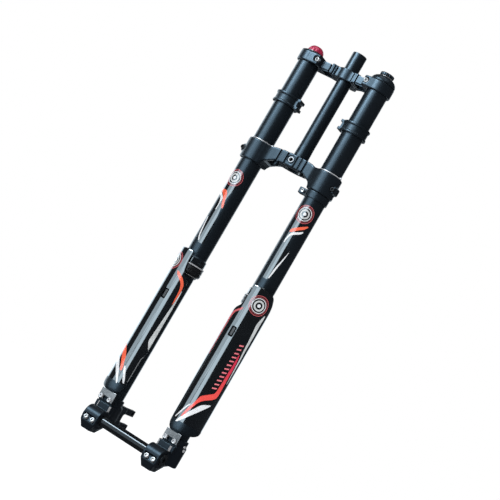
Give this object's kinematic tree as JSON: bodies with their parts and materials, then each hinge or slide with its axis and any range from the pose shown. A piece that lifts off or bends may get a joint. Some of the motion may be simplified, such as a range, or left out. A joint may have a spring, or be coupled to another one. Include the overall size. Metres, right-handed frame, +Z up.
{
  "type": "bicycle suspension fork",
  "caption": "Dual-crown upside-down bicycle suspension fork with stanchion guards, through axle, adjusters and brake ears.",
  "frame": {"origin": "on the steerer axis at the crown-race seat, the top face of the lower crown", "axes": "+Z up the steerer and along the legs, -Y forwards towards the axle's lead, +X to the side of the black preload knob"},
  "size_m": [0.2152, 0.1244, 0.8445],
  "materials": {
    "satin_black": "satin black anodised aluminium",
    "stanchion_black": "smooth black anodised sliding tube",
    "crown_black": "satin black painted forged alloy",
    "guard_gloss": "gloss black moulded plastic with printed stripes",
    "stop_rubber": "moulded matt black",
    "seal_rubber": "matt black seal rubber",
    "bright_steel": "zinc-plated steel",
    "black_steel": "black oxide steel",
    "spring_steel": "oiled spring steel",
    "brushed_plate": "brushed aluminium plate",
    "inner_alloy": "turned aluminium",
    "bushing_bronze": "PTFE-faced bronze",
    "knob_red": "red anodised aluminium"
  },
  "bodies": {
    "uppers": {"steerer_tube": "satin_black", "top_crown": "crown_black", "lower_crown": "crown_black", "left_upper_tube": "satin_black", "left_bump_stop": "stop_rubber", "left_locating_ring": "bright_steel", "left_dust_wiper": "seal_rubber", "left_wiper_ring": "bright_steel", "left_oil_seal": "seal_rubber", "left_lower_bushing": "bushing_bronze", "right_upper_tube": "satin_black", "right_bump_stop": "stop_rubber", "right_locating_ring": "bright_steel", "right_dust_wiper": "seal_rubber", "right_wiper_ring": "bright_steel", "right_oil_seal": "seal_rubber", "right_lower_bushing": "bushing_bronze", "top_crown_left_bolt": "bright_steel", "top_crown_right_bolt": "bright_steel", "steerer_clamp_bolt": "bright_steel", "lower_crown_left_bolt": "black_steel", "lower_crown_right_bolt": "black_steel", "crown_stop_screw": "black_steel", "hose_clamp": "stop_rubber", "hose_clamp_bolt": "bright_steel", "left_top_cap": "crown_black", "right_top_cap": "crown_black", "damper_rod": "bright_steel", "damper_piston": "bushing_bronze", "main_spring": "spring_steel"},
    "lowers": {"left_stanchion": "stanchion_black", "right_stanchion": "stanchion_black", "left_upper_bushing": "bushing_bronze", "right_upper_bushing": "bushing_bronze", "left_axle_lug": "crown_black", "right_axle_lug": "crown_black", "left_guard": "guard_gloss", "right_guard": "guard_gloss", "left_guard_bracket": "brushed_plate", "right_guard_bracket": "brushed_plate", "left_pinch_bolt_1": "bright_steel", "left_pinch_bolt_2": "bright_steel", "left_bracket_bolt_1": "bright_steel", "left_bracket_bolt_2": "bright_steel", "left_foot_bolt": "black_steel", "right_pinch_bolt_1": "bright_steel", "right_pinch_bolt_2": "bright_steel", "right_bracket_bolt_1": "bright_steel", "right_bracket_bolt_2": "bright_steel", "right_foot_bolt": "black_steel", "damper_cartridge": "inner_alloy", "cartridge_head": "inner_alloy", "topout_bumper": "seal_rubber", "spring_support": "inner_alloy"},
    "rebound_adjuster": {"rebound_knob": "knob_red", "rebound_adjuster_rod": "inner_alloy"},
    "preload_adjuster": {"preload_knob": "crown_black"},
    "preload_slide": {"preload_spacer": "inner_alloy"},
    "axle": {"thru_axle": "satin_black"}
  },
  "joints": [
    {"name": "fork_travel", "type": "slide", "parent": "uppers", "child": "lowers", "axis": [0, 0, 1], "range_m": [0, 0.19], "stiffness_N_per_m": 6500, "springref_m": -0.015, "deforming": ["main_spring"]},
    {"name": "rebound_turn", "type": "hinge", "parent": "uppers", "child": "rebound_adjuster", "pos_m": [-0.0766, -0.015, 0.2], "axis": [0, 0, 1], "range_deg": [-150, 150]},
    {"name": "preload_turn", "type": "hinge", "parent": "uppers", "child": "preload_adjuster", "pos_m": [0.0766, -0.015, 0.2], "axis": [0, 0, -1], "range_deg": [0, 300]},
    {"name": "preload_travel", "type": "slide", "parent": "uppers", "child": "preload_slide", "axis": [0, 0, -1], "range_m": [0, 0.006]},
    {"name": "axle_withdraw", "type": "slide", "parent": "lowers", "child": "axle", "axis": [1, 0, 0], "range_m": [0, 0.185]}
  ],
  "couplings": [
    {"joint": "preload_turn", "follows": "preload_travel", "rad_per_m": 872.66}
  ]
}
